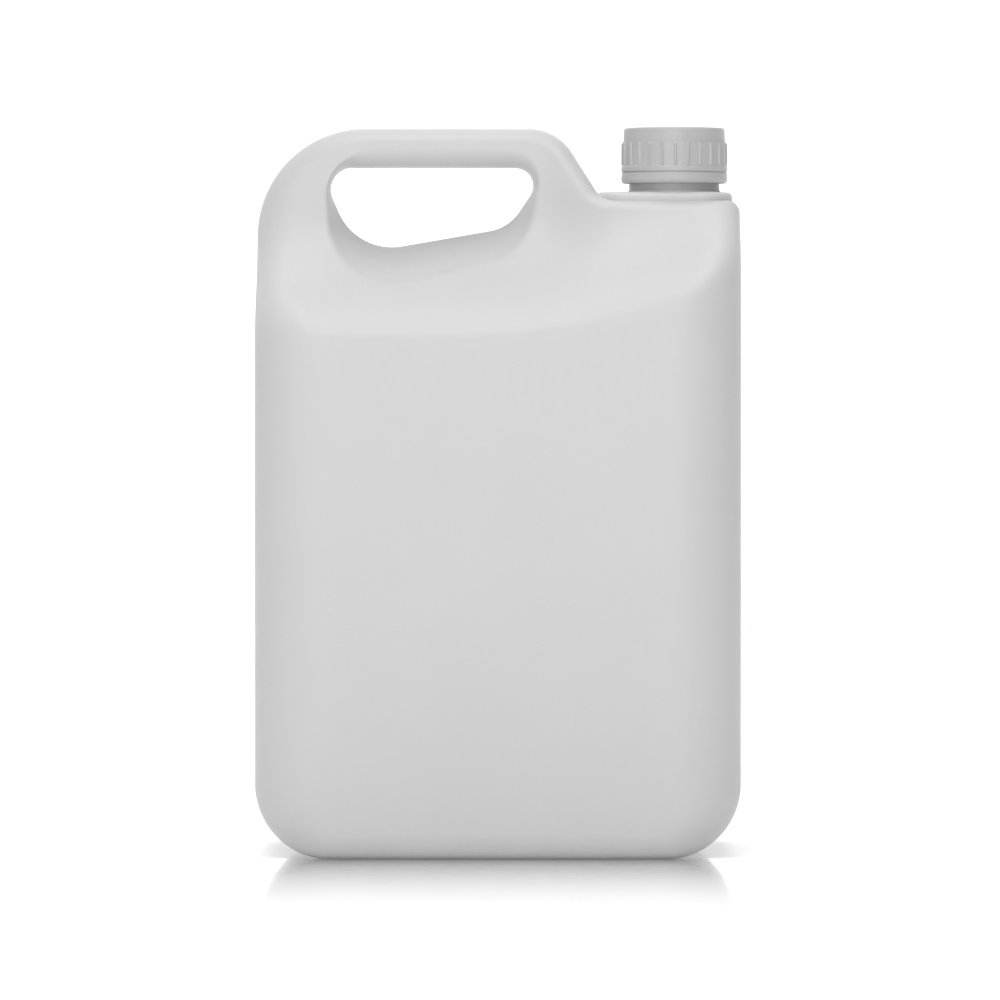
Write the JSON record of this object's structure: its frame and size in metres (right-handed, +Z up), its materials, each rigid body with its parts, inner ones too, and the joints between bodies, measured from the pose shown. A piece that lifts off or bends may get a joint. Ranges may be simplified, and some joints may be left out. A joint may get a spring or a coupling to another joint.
{
  "type": "plastic jerrycan",
  "caption": "Blow-moulded plastic jerrycan with a through handle, a threaded neck on a raised land, a ribbed screw cap with liner and a tamper band.",
  "frame": {"origin": "middle of the base, on the floor", "axes": "X across the width towards the neck, Y from the front face to the back face, Z up"},
  "size_m": [0.19, 0.13, 0.2858],
  "materials": {
    "can_body": "natural polyethylene, soft satin",
    "screw_cap": "white polyethylene, satin",
    "cap_liner": "white foamed liner",
    "tamper_band": "white polyethylene, satin"
  },
  "bodies": {
    "can": {"can_body": "can_body", "tamper_band": "tamper_band"},
    "liner": {"cap_liner": "cap_liner"},
    "cap": {"screw_cap": "screw_cap"}
  },
  "joints": [
    {"name": "cap_rise", "type": "slide", "parent": "can", "child": "liner", "axis": [0, 0, 1], "range_m": [0, 0.0211]},
    {"name": "cap_turn", "type": "hinge", "parent": "liner", "child": "cap", "pos_m": [0.0697, 0, 0.28], "axis": [0, 0, 1], "range_deg": [0, 1800]}
  ],
  "couplings": [
    {"joint": "cap_rise", "follows": "cap_turn", "m_per_rad": 0.00066845}
  ]
}
